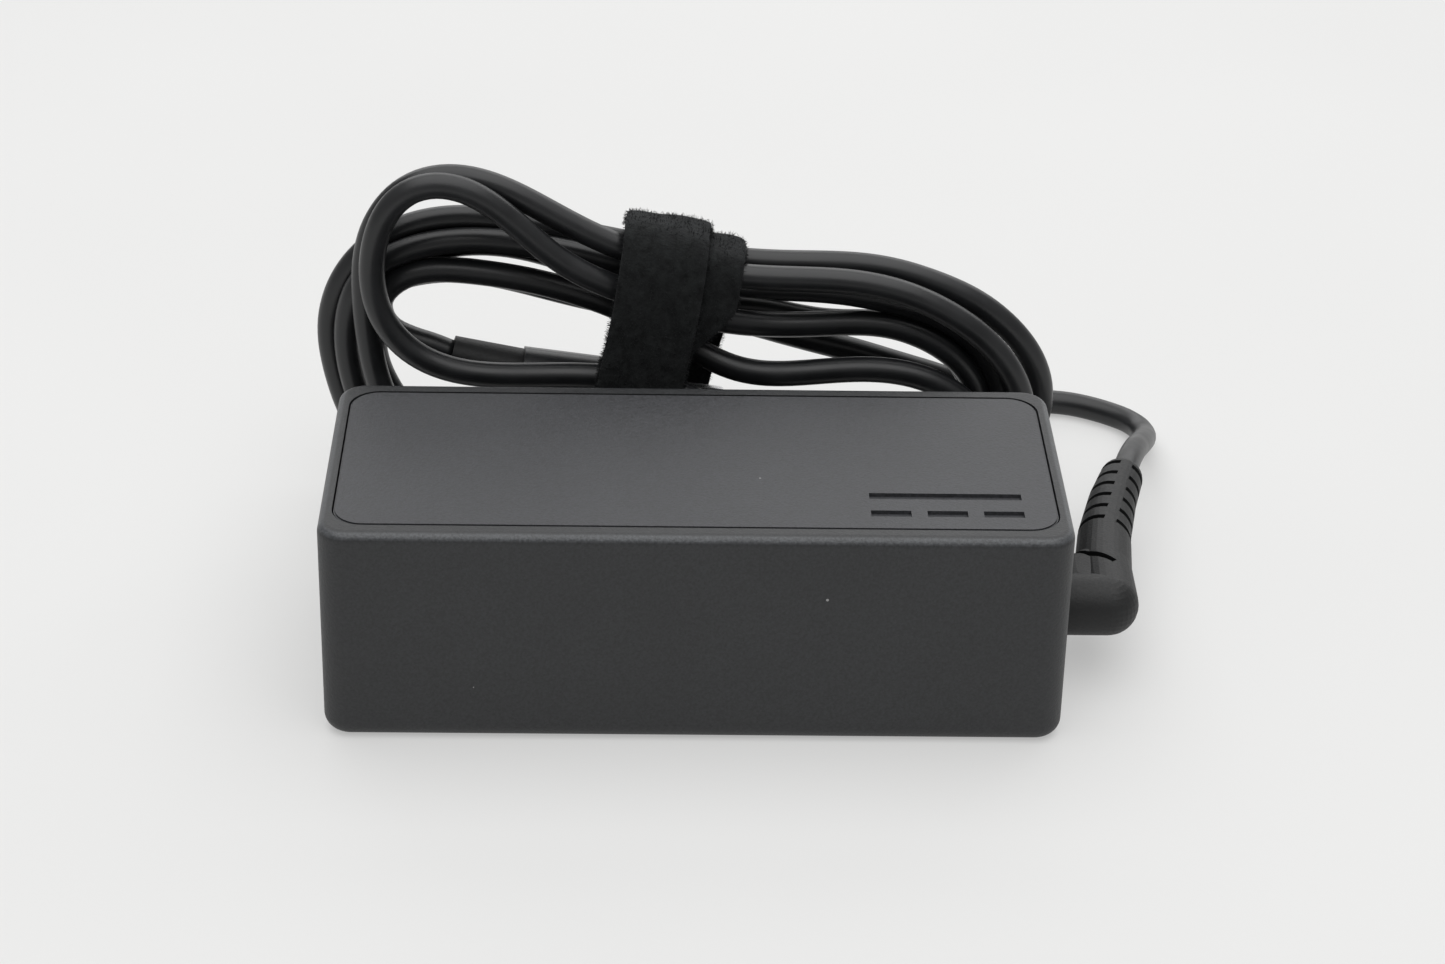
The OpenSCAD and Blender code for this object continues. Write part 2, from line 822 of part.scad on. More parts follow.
housing_tub();
top_cover();
rating_label();
inlet_body();
inlet_pin_line();
inlet_pin_neutral();
inlet_pin_earth();
ac_leads();
earth_lead();
insulating_liner();
heat_spreader();
top_insulation();
circuit_board();
fuse();
inrush_thermistor();
x_capacitor();
y_capacitor();
choke_core();
choke_windings();
bridge_rectifier();
bulk_capacitor();
switching_transistor();
heat_sink();
supply_capacitor();
optocoupler();
transformer_core_lower();
transformer_core_upper();
transformer_bobbin();
transformer_winding();
transformer_tape();
output_rectifier();
port_controller();
output_capacitors();
output_inductor();
dc_leads();
cord_boot();
cord_lead();
cord_hank();
strap();
strap_tab();
plug_relief();
plug_grip();
plug_shell();
plug_insert();
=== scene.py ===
"""Looks of the laptop power adapter. Metres; the middle of the case's underside is the origin, +Z is up."""

import json
import math

import bpy
import numpy as np
from mathutils import Matrix, Vector


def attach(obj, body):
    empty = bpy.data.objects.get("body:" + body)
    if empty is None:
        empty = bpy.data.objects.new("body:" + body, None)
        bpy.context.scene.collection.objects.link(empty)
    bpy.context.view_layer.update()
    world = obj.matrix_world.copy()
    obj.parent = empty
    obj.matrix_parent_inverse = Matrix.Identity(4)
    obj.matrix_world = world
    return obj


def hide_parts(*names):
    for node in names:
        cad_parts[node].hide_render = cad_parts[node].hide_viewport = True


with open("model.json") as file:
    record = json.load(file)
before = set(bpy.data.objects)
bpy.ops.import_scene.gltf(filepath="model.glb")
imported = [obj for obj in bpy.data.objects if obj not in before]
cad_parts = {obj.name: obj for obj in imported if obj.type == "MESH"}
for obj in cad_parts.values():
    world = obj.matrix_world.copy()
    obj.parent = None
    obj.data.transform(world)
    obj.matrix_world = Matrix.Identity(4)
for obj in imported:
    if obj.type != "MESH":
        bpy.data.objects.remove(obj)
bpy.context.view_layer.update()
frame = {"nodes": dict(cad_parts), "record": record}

MM = 0.001
CORD_D = 3.5 * MM
CORD_R = CORD_D / 2


# ---- camera ----


CAMERA_AT = (-0.0081, -0.37656, 0.23431)
CAMERA_TURN = (-1.76, 28.92, 1.41)


def make_camera():
    """A long lens in front of the case, a little above it and turned very slightly."""
    azimuth, elevation, roll = (math.radians(a) for a in CAMERA_TURN)
    ahead = Vector((
        -math.sin(azimuth) * math.cos(elevation),
        math.cos(azimuth) * math.cos(elevation),
        -math.sin(elevation),
    ))
    level = Vector((math.cos(azimuth), math.sin(azimuth), 0))
    upright = level.cross(ahead)
    right = level * math.cos(roll) + upright * math.sin(roll)
    up = upright * math.cos(roll) - level * math.sin(roll)
    data = bpy.data.cameras.new("camera")
    data.sensor_width = 36
    data.lens = 84.25
    data.clip_start = 0.01
    data.clip_end = 20
    camera = bpy.data.objects.new("camera", data)
    camera.matrix_world = Matrix.Translation(CAMERA_AT) @ Matrix(
        (right, up, -ahead)
    ).transposed().to_4x4()
    bpy.context.scene.collection.objects.link(camera)
    bpy.context.scene.camera = camera


# ---- cord ----

# Free stretch, from the boot round to the back of the hank
LEAD = [
    (0.0602, 0.0336, 0.0097), (0.0614, 0.038, 0.0092), (0.0629, 0.0434, 0.0079), (0.0644, 0.0484, 0.0062),
    (0.0656, 0.0526, 0.0046), (0.0664, 0.0562, 0.0032), (0.0667, 0.0592, 0.0023), (0.0661, 0.0622, 0.0019),
    (0.0643, 0.0648, 0.0018), (0.0614, 0.067, 0.0018), (0.0584, 0.0687, 0.0018), (0.055, 0.0697, 0.0018),
    (0.0514, 0.0692, 0.002), (0.0484, 0.0666, 0.0028), (0.0464, 0.0622, 0.0048), (0.0446, 0.0574, 0.0076),
    (0.0424, 0.0528, 0.0112), (0.0392, 0.0488, 0.015), (0.035, 0.0458, 0.0182),
]
# The same cord on into the hank, up to the strap
LEAD_IN = [
    (0.029, 0.0444, 0.0208), (0.0225, 0.0441, 0.023), (0.015, 0.0441, 0.025), (0.007, 0.0441, 0.0275),
]

STRAP_AT = (-0.004, 0.037, 0.0268)
STRAP_TILT = math.radians(6)
WAIST_W = 0.018
WAIST_H = 0.034
SHOULDER_R = 0.006
RING_R = 0.004

# Turns in the left lobe, in mm: the slot at the strap on the way in (y, z), points on the way round
# (x, y, z) and the slot on the way out. Each point has its direction in the XZ plane, in degrees
# above -X. The last turn ends in the plug.
LEFT_TURNS = [
    dict(
        slot_in=(44.1, 30.6), way_in=20,
        round=[(-28, 44.2, 38.6, 0), (-47.4, 44.3, 26, -90), (-33, 44, 1.9, 180)],
        slot_out=(43.4, 12.6),
    ),
    dict(
        slot_in=(40.6, 30.9), way_in=5,
        round=[(-13, 41.4, 31.7, 12), (-35, 42, 35.9, 0), (-47, 42.4, 26, -90), (-31, 41, 7, 180)],
        slot_out=(39.7, 11.8),
    ),
    dict(
        slot_in=(44, 36.8), way_in=15,
        round=[(-30, 44.3, 42.6, 0), (-45.4, 44.3, 28, -90), (-31, 40.5, 9, 180)],
        slot_out=(36, 11.8),
    ),
    dict(
        slot_in=(40.8, 39.6), way_in=10,
        round=[(-32, 41, 43.6, 0), (-49.3, 41, 28.5, -90), (-34, 37, 5, 180)],
        slot_out=(32.3, 12),
    ),
    dict(
        slot_in=(37.6, 37.4), way_in=12,
        round=[(-30, 38.8, 42, 0), (-47.2, 38, 28, -90), (-33, 33.4, 8, 180)],
        slot_out=(30.1, 15.6),
    ),
    dict(
        slot_in=(34.8, 40.6), way_in=18,
        round=[
            (-15, 34.5, 45.2, 28), (-33, 34.5, 52.8, 0),
            (-44.2, 34.9, 38, -90), (-33, 31.6, 14, 180),
        ],
        slot_out=(30.1, 19.4),
    ),
    dict(
        slot_in=(33, 35.2), way_in=24,
        round=[
            (-17.5, 31.4, 41.8, 36), (-34.5, 31, 53.2, 0), (-42.8, 31, 38.8, -90),
            (-33, 31, 26.1, -165), (-18, 31, 25.3, 180),
        ],
        slot_out=(30.2, 24), way_out=-160,
    ),
    dict(
        slot_in=(36.8, 29.6), way_in=27,
        round=[(-12.6, 37.6, 33.4, 20), (-31, 38.2, 37, 0), (-43.4, 39, 33, -90)],
    ),
]
# Turns in the right lobe, in mm, the same way
RIGHT_TURNS = [
    [(26, 42.5, 7, 180), (39.8, 41.8, 14, 90), (31.5, 41.5, 27.5, 30), (19, 41, 28.6, 0), (8, 41.2, 31, 0)],
    [(29, 42, 3.5, 180), (43.5, 44.3, 17, 90), (20, 44.2, 34.2, 0)],
    [(31, 38, 2, 180), (48.9, 41, 17.5, 90), (40.5, 41, 31.2, 42), (31.1, 41, 35.6, 25), (14, 41, 37.7, 0)],
    [(27, 35.5, 6.5, 180), (43.2, 37.6, 17, 90), (27, 38, 33.4, 20), (13, 38, 35.3, 0)],
    [(30, 32.5, 2.2, 180), (45.8, 34, 17, 90), (30.6, 34, 35.8, 25), (15, 34, 38.6, 0)],
    [(24, 34, 11, 180), (39.7, 37.5, 18, 90), (31.1, 37.5, 29.5, 18), (15, 37.5, 30.1, 0)],
    [(28, 31, 4.5, 180), (41, 34, 12, 90), (28.4, 34, 24.8, 10), (8, 34.4, 24.2, 4)],
]

PLUG_START = np.array((-0.033, 0.0396, 0.0242))
RELIEF_DIP = math.radians(15)
GRIP_DIP = math.radians(7.5)
RELIEF_L = 0.010
GRIP_L = 0.021
SHELL_L = 0.00665
GRIP_ROLL = math.radians(-25)
# Each of the plug's bars: half the width of its flat and the radius of its rounded sides
RELIEF_SHAPE = (0, 0.003)
GRIP_SHAPE = (0.00295, 0.00325)
SHELL_SHAPE = (0.0029, 0.0012)

# How the cord's course is relaxed. Its first stretch is held, and the last points go into the plug.
STEP = 3 * MM
HELD_LENGTH = 0.1
ENTRY_POINTS = 6
# Where the strap holds the strands along the hank, and the room the hank has behind the case
STRAP_REACH = (-0.0085, 0.0095)
HANK_FRONT, HANK_BACK, HANK_RIGHT = 0.028, 0.046, 0.036
CLEARANCE = 0.0001
TIGHTEST_BEND = 2.15 * CORD_D
PUSH_GAP = 1.01 * CORD_D
SMOOTHING = 0.2
RECALL = 0.03
ROUNDS, QUICK_ROUNDS = 500, 60


def heading(dip):
    """Unit direction to the right, dipping by an angle."""
    return np.array((math.cos(dip), 0, -math.sin(dip)))


def hermite(start, end, leave, arrive, steps):
    """Points of one smooth stretch, without its last one."""
    t = np.linspace(0, 1, steps, endpoint=False)[:, None]
    return (
        (2 * t**3 - 3 * t**2 + 1) * start
        + (t**3 - 2 * t**2 + t) * leave
        + (3 * t**2 - 2 * t**3) * end
        + (t**3 - t**2) * arrive
    )


def through(points, arrive):
    """A smooth line through points that ends with the direction arrive."""
    p = np.array(points, float)
    slope = np.gradient(p, axis=0)
    slope[-1] = arrive
    stretches = [hermite(p[i], p[i + 1], slope[i], slope[i + 1], 8) for i in range(len(p) - 1)]
    return np.vstack(stretches)


def hank_knots():
    """Each knot of the hank in metres and the unit direction of the cord there."""
    knots = []

    def add(x, y, z, degrees):
        turn = math.radians(degrees)
        knots.append((np.array((x, y, z)) * MM, np.array((-math.cos(turn), 0, math.sin(turn)))))

    at = STRAP_AT[0] / MM
    for i, turn in enumerate(LEFT_TURNS):
        add(at, *turn["slot_in"], turn["way_in"])
        for knot in turn["round"]:
            add(*knot)
        if "slot_out" in turn:
            add(at, *turn["slot_out"], turn.get("way_out", 177))
            for knot in RIGHT_TURNS[i]:
                add(*knot)
    return knots


def cord_line():
    """The cord's first course, from the boot to the plug."""
    knots = hank_knots() + [(PLUG_START, heading(math.radians(24)))]
    line = [through(LEAD + LEAD_IN + [tuple(knots[0][0])], knots[0][1] * 0.01)]
    for (a, way_a), (b, way_b) in zip(knots[:-1], knots[1:]):
        turn = math.acos(max(-1, min(1, float(way_a @ way_b))))
        reach = np.linalg.norm(b - a) * (1 + 0.12 * turn / (math.pi / 2))
        line.append(hermite(a, b, way_a * reach, way_b * reach, 16))
    return np.vstack(line + [knots[-1][0][None]])


def spaced(line, step):
    """The same line with points an even step apart."""
    along = np.r_[0, np.cumsum(np.linalg.norm(np.diff(line, axis=0), axis=1))]
    t = np.linspace(0, along[-1], int(round(along[-1] / step)) + 1)
    return np.stack([np.interp(t, along, line[:, k]) for k in range(3)], axis=1)


def keep_in_strap(x):
    """Moves points that pass the strap inside its rounded opening."""
    c, s = math.cos(STRAP_TILT), math.sin(STRAP_TILT)
    dx, dy, dz = (x - np.array(STRAP_AT)).T
    along, rise = dx * c - dz * s, dx * s + dz * c
    inside = (along > STRAP_REACH[0]) & (along < STRAP_REACH[1])
    room_y, room_z = WAIST_W / 2 - CORD_R, WAIST_H / 2 - CORD_R
    corner = np.where(rise > 0, SHOULDER_R, RING_R) - CORD_R
    y, z = np.clip(dy, -room_y, room_y), np.clip(rise, -room_z, room_z)
    core_y, core_z = (np.clip(v, corner - room, room - corner) for v, room in ((y, room_y), (z, room_z)))
    off = np.hypot(y - core_y, z - core_z)
    scale = np.where(off > corner, corner / np.maximum(off, 1e-9), 1)
    y, z = core_y + (y - core_y) * scale, core_z + (z - core_z) * scale
    moved = np.stack([along * c + z * s, y, z * c - along * s], axis=1) + STRAP_AT
    x[inside] = moved[inside]


def keep_off_plug(x):
    """Moves points out of the plug, which is three rounded bars in a row."""
    grip_start = PLUG_START + RELIEF_L * heading(RELIEF_DIP)
    shell_start = grip_start + GRIP_L * heading(GRIP_DIP)
    bars = (
        (PLUG_START, heading(RELIEF_DIP), RELIEF_L, *RELIEF_SHAPE),
        (grip_start, heading(GRIP_DIP), GRIP_L, *GRIP_SHAPE),
        (shell_start, heading(GRIP_DIP), SHELL_L, *SHELL_SHAPE),
    )
    free = np.arange(len(x)) < len(x) - ENTRY_POINTS
    roll, dip = GRIP_ROLL, GRIP_DIP
    flat_way = np.array((math.sin(roll) * math.sin(dip), math.cos(roll), math.sin(roll) * math.cos(dip)))
    for start, way, length, half_flat, radius in bars:
        t = (x - start) @ way
        out = x - start - np.clip(t, 0, length)[:, None] * way
        out -= np.clip(out @ flat_way, -half_flat, half_flat)[:, None] * flat_way
        distance = np.linalg.norm(out, axis=1)
        need = radius + CORD_R + CLEARANCE
        hit = free & (distance < need) & (t > -CORD_R) & (t < length + CORD_R)
        x[hit] += out[hit] / np.maximum(distance[hit], 1e-6)[:, None] * (need - distance[hit])[:, None]


def settle(line, held, rounds):
    """Relaxes the course until its strands lie against each other: they push apart, stay smooth and
    keep their length, over the table, behind the case, inside the strap and clear of the plug."""
    x = line.copy()
    count = len(x)
    rest = np.linalg.norm(np.diff(line, axis=0), axis=1)
    a_all, b_all = np.triu_indices(count, int(math.ceil(2.2 * PUSH_GAP / rest.mean())))
    most = rest.mean() ** 2 / 2 / TIGHTEST_BEND
    free = np.ones(count, bool)
    free[held] = False
    loose = free[:, None]
    for turn in range(rounds):
        if turn % 10 == 0:
            apart = x[a_all] - x[b_all]
            near = (apart * apart).sum(1) < (PUSH_GAP * 1.6) ** 2
            a_near, b_near = a_all[near], b_all[near]
        apart = x[a_near] - x[b_near]
        distance = np.sqrt((apart * apart).sum(1)) + 1e-9
        hit = distance < PUSH_GAP
        a, b = a_near[hit], b_near[hit]
        push = apart[hit] * ((PUSH_GAP - distance[hit]) / distance[hit] / 2)[:, None]
        shift, hits = np.zeros_like(x), np.zeros(count)
        np.add.at(shift, a, push)
        np.add.at(shift, b, -push)
        np.add.at(hits, a, 1)
        np.add.at(hits, b, 1)
        x += shift / np.maximum(1, hits / 2)[:, None] * loose
        sag = np.zeros_like(x)
        sag[1:-1] = (x[2:] + x[:-2]) / 2 - x[1:-1]
        bend = np.zeros_like(x)
        bend[2:-2] = sag[2:-2] - (sag[3:-1] + sag[1:-3]) / 2
        x += SMOOTHING * bend * loose + RECALL * (line - x) * loose
        bow = np.linalg.norm(sag, axis=1)
        over = np.clip(bow - most, 0, None) / np.maximum(bow, 1e-9)
        ease = sag * over[:, None] * 0.5
        x += ease * loose
        x[:-1] -= ease[1:] / 2 * loose[:-1]
        x[1:] -= ease[:-1] / 2 * loose[1:]
        for _ in range(2):
            edge = np.diff(x, axis=0)
            length = np.linalg.norm(edge, axis=1)
            pull = edge * ((length - rest) / length / 4)[:, None]
            x[:-1] += pull * loose[:-1]
            x[1:] -= pull * loose[1:]
        low = free & (x[:, 2] < CORD_R + CLEARANCE)
        x[low, 2] = CORD_R + CLEARANCE
        in_hank = free & (x[:, 0] < HANK_RIGHT)
        x[in_hank, 1] = np.clip(x[in_hank, 1], HANK_FRONT + CORD_R, HANK_BACK - CORD_R)
        kept = x[held].copy()
        keep_in_strap(x)
        keep_off_plug(x)
        x[held] = kept
    return x


def new_mesh(name, points, faces):
    """A new object from points and faces, shaded smooth."""
    mesh = bpy.data.meshes.new(name)
    mesh.from_pydata([tuple(p) for p in points], [], faces)
    mesh.polygons.foreach_set("use_smooth", [True] * len(mesh.polygons))
    piece = bpy.data.objects.new(name, mesh)
    bpy.context.scene.collection.objects.link(piece)
    return piece


def tube_along(name, line, radius, sides=20):
    """A round tube with closed ends round a line."""
    ahead = np.gradient(line, axis=0)
    ahead /= np.linalg.norm(ahead, axis=1)[:, None]
    side = np.cross(ahead[0], (0, 0, 1))
    angles = np.linspace(0, 2 * math.pi, sides, endpoint=False)[:, None]
    points = []
    for at, way in zip(line, ahead):
        side = side - (side @ way) * way
        side /= np.linalg.norm(side)
        points.append(at + radius * (np.cos(angles) * side + np.sin(angles) * np.cross(way, side)))
    last = (len(line) - 1) * sides
    faces = [tuple(range(sides))[::-1], tuple(range(last, last + sides))]
    for i in range(len(line) - 1):
        for k in range(sides):
            a, b = i * sides + k, i * sides + (k + 1) % sides
            faces.append((a, b, b + sides, a + sides))
    return new_mesh(name, np.vstack(points), faces)


def make_cord():
    """The cord's finished course, relaxed and then made finer."""
    course = spaced(cord_line(), STEP)
    held = list(range(int(HELD_LENGTH / STEP))) + [len(course) - 2, len(course) - 1]
    course = settle(course, held, ROUNDS)
    ends = np.vstack([2 * course[0] - course[1], course, 2 * course[-1] - course[-2]])
    fine = []
    for i in range(1, len(ends) - 2):
        leave, arrive = (ends[i + 1] - ends[i - 1]) / 2, (ends[i + 2] - ends[i]) / 2
        fine.append(hermite(ends[i], ends[i + 1], leave, arrive, 3))
    return np.vstack(fine + [ends[-2][None]])


make_camera()
cord_points = make_cord()
cord = tube_along("cord", cord_points, CORD_R)
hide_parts("cord_lead", "cord_hank")
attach(cord, "adapter")


# ---- materials ----


def new_material(name):
    """A material with its nodes, links, shader and the object's own coordinates."""
    material = bpy.data.materials.new(name)
    material.use_nodes = True
    nodes, links = material.node_tree.nodes, material.node_tree.links
    shader = nodes["Principled BSDF"]
    place = nodes.new("ShaderNodeTexCoord").outputs["Object"]
    return material, nodes, links, shader, place


def noise(nodes, links, place, scale, detail=3.0, rough=0.55, stretch=None):
    """Noise of the given number of features to a metre, stretched along an axis if asked."""
    texture = nodes.new("ShaderNodeTexNoise")
    texture.inputs["Scale"].default_value = scale
    texture.inputs["Detail"].default_value = detail
    texture.inputs["Roughness"].default_value = rough
    if stretch:
        mapping = nodes.new("ShaderNodeMapping")
        mapping.inputs["Scale"].default_value = stretch
        links.new(place, mapping.inputs["Vector"])
        place = mapping.outputs["Vector"]
    links.new(place, texture.inputs["Vector"])
    return texture.outputs["Fac"]


def ramp(nodes, links, value, stops):
    """Maps a value to colours; stops is a list of (position, colour)."""
    node = nodes.new("ShaderNodeValToRGB")
    elements = node.color_ramp.elements
    while len(elements) < len(stops):
        elements.new(0.5)
    for element, (position, colour) in zip(elements, stops):
        element.position = position
        element.color = (*colour, 1)
    links.new(value, node.inputs["Fac"])
    return node.outputs["Color"]


def remap(nodes, links, value, low, high, from_low=0.0, from_high=1.0):
    """Maps a value from one range to another."""
    node = nodes.new("ShaderNodeMapRange")
    node.inputs["From Min"].default_value = from_low
    node.inputs["From Max"].default_value = from_high
    node.inputs["To Min"].default_value = low
    node.inputs["To Max"].default_value = high
    links.new(value, node.inputs["Value"])
    return node.outputs["Result"]


def bump(nodes, links, height, depth, strength, under=None):
    """Relief of the given depth in metres, over another relief if there is one."""
    node = nodes.new("ShaderNodeBump")
    node.inputs["Strength"].default_value = strength
    node.inputs["Distance"].default_value = depth
    links.new(height, node.inputs["Height"])
    if under is not None:
        links.new(under, node.inputs["Normal"])
    return node.outputs["Normal"]


def moulded(name, colour, rough, grain=3200, grain_depth=0.05, wear=0.12, metallic=0.0, speck=0.2):
    """Moulded plastic or rubber: fine spark-eroded grain, slow colour drift and uneven gloss. The
    grain's depth is in mm."""
    material, nodes, links, shader, place = new_material(name)
    drift = noise(nodes, links, place, 60, 4)
    dark, light = ([c * k for c in colour] for k in (1 - wear, 1 + wear))
    tint = ramp(nodes, links, drift, [(0.3, dark), (0.7, light)])
    fine = noise(nodes, links, place, grain, 2.5, 0.6)
    speckle = nodes.new("ShaderNodeMix")
    speckle.data_type = "RGBA"
    speckle.blend_type = "MULTIPLY"
    speckle.inputs["Factor"].default_value = 1
    links.new(tint, speckle.inputs["A"])
    spread = [(0.3, (1 - speck,) * 3), (0.7, (1 + speck,) * 3)]
    links.new(ramp(nodes, links, fine, spread), speckle.inputs["B"])
    links.new(speckle.outputs["Result"], shader.inputs["Base Color"])
    gloss = remap(nodes, links, fine, rough - 0.06, rough + 0.06, 0.3, 0.7)
    links.new(gloss, shader.inputs["Roughness"])
    relief = bump(nodes, links, fine, grain_depth * MM, 0.5)
    links.new(relief, shader.inputs["Normal"])
    shader.inputs["Metallic"].default_value = metallic
    return material


POLISH = 0.72
DUST = (0.3, 0.3, 0.3, 1)


def wear_and_highlight_edges(material, band=(0.3, 0.6, 0.86, 0.97), paler=3.2):
    """Handling polishes a case's rounded rims: where the surface turns between upright and level it is
    glossier, and its colour is paler, partly as wear and partly as a painted highlight along the rim."""
    nodes, links = material.node_tree.nodes, material.node_tree.links
    shader = nodes["Principled BSDF"]
    split = nodes.new("ShaderNodeSeparateXYZ")
    links.new(nodes.new("ShaderNodeTexCoord").outputs["Normal"], split.inputs[0])
    rise = remap(nodes, links, split.outputs["Z"], 0, 1, band[0], band[1])
    fall = remap(nodes, links, split.outputs["Z"], 1, 0, band[2], band[3])
    mask = nodes.new("ShaderNodeMath")
    mask.operation = "MULTIPLY"
    links.new(rise, mask.inputs[0])
    links.new(fall, mask.inputs[1])
    # The paler base colour on the rims is partly wear and partly a painted highlight; the lower roughness
    # is real gloss from handling.
    for socket, stop in (("Base Color", paler), ("Roughness", POLISH)):
        source = shader.inputs[socket].links[0].from_socket
        mix = nodes.new("ShaderNodeMix")
        mix.data_type = "RGBA"
        mix.blend_type = "MULTIPLY"
        mix.clamp_result = False
        mix.inputs["B"].default_value = (stop, stop, stop, 1)
        links.new(mask.outputs[0], mix.inputs["Factor"])
        links.new(source, mix.inputs["A"])
        links.new(mix.outputs["Result"], shader.inputs[socket])


def add_dust(material, scale, size):
    """A few pale specks of dust over a moulded material."""
    nodes, links = material.node_tree.nodes, material.node_tree.links
    shader = nodes["Principled BSDF"]
    place = nodes.new("ShaderNodeTexCoord").outputs["Object"]
    cells = nodes.new("ShaderNodeTexVoronoi")
    cells.inputs["Scale"].default_value = scale
    links.new(place, cells.inputs["Vector"])
    speck = nodes.new("ShaderNodeMath")
    speck.operation = "LESS_THAN"
    speck.inputs[1].default_value = size
    links.new(cells.outputs["Distance"], speck.inputs[0])
    base = shader.inputs["Base Color"].links[0].from_socket
    mix = nodes.new("ShaderNodeMix")
    mix.data_type = "RGBA"
    mix.inputs["B"].default_value = DUST
    links.new(speck.outputs[0], mix.inputs["Factor"])
    links.new(base, mix.inputs["A"])
    links.new(mix.outputs["Result"], shader.inputs["Base Color"])


def metal(name, colour, rough, stretch=(1, 1, 1), scale=900):
    """Bare metal with fine drawn or brushed lines."""
    material, nodes, links, shader, place = new_material(name)
    lines = noise(nodes, links, place, scale, 3, 0.6, stretch)
    dark, light = ([c * k for c in colour] for k in (0.86, 1.08))
    links.new(ramp(nodes, links, lines, [(0.3, dark), (0.7, light)]), shader.inputs["Base Color"])
    gloss = remap(nodes, links, lines, rough - 0.08, rough + 0.08, 0.3, 0.7)
    links.new(gloss, shader.inputs["Roughness"])
    links.new(bump(nodes, links, lines, 0.01 * MM, 0.4), shader.inputs["Normal"])
    shader.inputs["Metallic"].default_value = 1.0
    return material


def jacket(name, colour):
    """Smooth satin cord jacket with faint handling marks."""
    material, nodes, links, shader, place = new_material(name)
    slow = noise(nodes, links, place, 180, 4, 0.6)
    dark, light = ([c * k for c in colour] for k in (0.8, 1.25))
    links.new(ramp(nodes, links, slow, [(0.3, dark), (0.7, light)]), shader.inputs["Base Color"])
    fine = noise(nodes, links, place, 2200, 3, 0.6)
    links.new(remap(nodes, links, slow, 0.3, 0.42, 0.3, 0.7), shader.inputs["Roughness"])
    links.new(bump(nodes, links, fine, 0.02 * MM, 0.35), shader.inputs["Normal"])
    return material


def fuzz(name, colour):
    """Deep black looped pile: mottled, with a soft sheen at the edges."""
    material, nodes, links, shader, place = new_material(name)
    clump = noise(nodes, links, place, 620, 6, 0.75)
    dark, light = ([c * k for c in colour] for k in (0.35, 2.2))
    links.new(ramp(nodes, links, clump, [(0.32, dark), (0.68, light)]), shader.inputs["Base Color"])
    links.new(remap(nodes, links, clump, 0.8, 1.0), shader.inputs["Roughness"])
    fine = noise(nodes, links, place, 3600, 4, 0.7)
    coarse = bump(nodes, links, clump, 0.5 * MM, 0.7)
    links.new(bump(nodes, links, fine, 0.2 * MM, 0.8, coarse), shader.inputs["Normal"])
    shader.inputs["Specular IOR Level"].default_value = 0.15
    shader.inputs["Sheen Weight"].default_value = 0.15
    shader.inputs["Sheen Roughness"].default_value = 0.6
    shader.inputs["Sheen Tint"].default_value = (0.25, 0.25, 0.27, 1)
    return material


def make_looks():
    """One material for each of the record's slots."""
    looks = {
        "housing": moulded("housing", (0.0195, 0.0205, 0.022), 0.52, 3000, 0.14, 0.08, speck=0.38),
        # The cover is the case's top. Its colour, paler than the housing's, is partly a painted highlight
        # for the light falling on the top face.
        "cover": moulded("cover", (0.037, 0.038, 0.042), 0.56, 3000, 0.14, 0.06, speck=0.38),
        "label": moulded("label", (0.32, 0.32, 0.33), 0.45, 900, 0.01),
        "inlet": moulded("inlet", (0.012, 0.012, 0.013), 0.35, 2400, 0.02),
        "pins": metal("pins", (0.72, 0.72, 0.73), 0.24, (1, 6, 6)),
        "ac_wire": moulded("ac_wire", (0.02, 0.02, 0.02), 0.4, 1500, 0.02),
        "earth_wire": moulded("earth_wire", (0.22, 0.4, 0.06), 0.4, 1500, 0.02),
        "dc_wire": moulded("dc_wire", (0.35, 0.03, 0.03), 0.4, 1500, 0.02),
        "film": moulded("film", (0.62, 0.6, 0.52), 0.4, 700, 0.02),
        "spreader": metal("spreader", (0.6, 0.61, 0.62), 0.42, (1, 12, 12)),
        "board": moulded("board", (0.02, 0.13, 0.05), 0.3, 800, 0.02),
        "black_part": moulded("black_part", (0.02, 0.02, 0.021), 0.5, 2000, 0.03),
        "green_part": moulded("green_part", (0.07, 0.13, 0.05), 0.35, 1200, 0.03),
        "yellow_part": moulded("yellow_part", (0.66, 0.45, 0.03), 0.4, 900, 0.02),
        "blue_part": moulded("blue_part", (0.04, 0.15, 0.42), 0.35, 1200, 0.03),
        "white_part": moulded("white_part", (0.7, 0.7, 0.68), 0.5, 1500, 0.02),
        "ferrite": moulded("ferrite", (0.05, 0.05, 0.055), 0.6, 1800, 0.06, 0.25),
        "copper": metal("copper", (0.62, 0.26, 0.1), 0.35, (2, 2, 20)),
        "capacitor_sleeve": moulded("capacitor_sleeve", (0.03, 0.06, 0.13), 0.35, 1400, 0.02),
        "boot": moulded("boot", (0.0055, 0.0059, 0.0062), 0.58, 3000, 0.08),
        "cord": jacket("cord", (0.009, 0.0095, 0.0105)),
        "strap": fuzz("strap", (0.0078, 0.0086, 0.0086)),
        "plug": moulded("plug", (0.014, 0.0145, 0.016), 0.4, 2600, 0.04),
        "plug_shell": metal("plug_shell", (0.6, 0.6, 0.61), 0.3, (12, 1, 1)),
    }
    for name in ("housing", "cover"):
        add_dust(looks[name], 110, 0.02)
        # Rims: glossier from handling, and paler partly from wear and partly as a painted highlight.
        wear_and_highlight_edges(looks[name])
    return looks


def dress(piece, material):
    """Gives a piece one material."""
    piece.data.materials.clear()
    piece.data.materials.append(material)


LOOKS = make_looks()
for part in frame["record"]["subparts"]:
    dress(frame["nodes"][part["node"]], LOOKS[part["material_slot"]])
dress(cord, LOOKS["cord"])


# ---- strap ----

STRAP_W = 11.5 * MM
STRAP_T = 1.5 * MM
TAB_Z = 10.6 * MM
TAB_L = 20 * MM
TAB_Y = 11.45 * MM
TAB_T = 1.3 * MM
TAB_CURL = 0.12 * MM
# The loose end's tip starts to round off at this share of its length, over this share
TIP_FROM, TIP_OVER = 0.86, 0.16
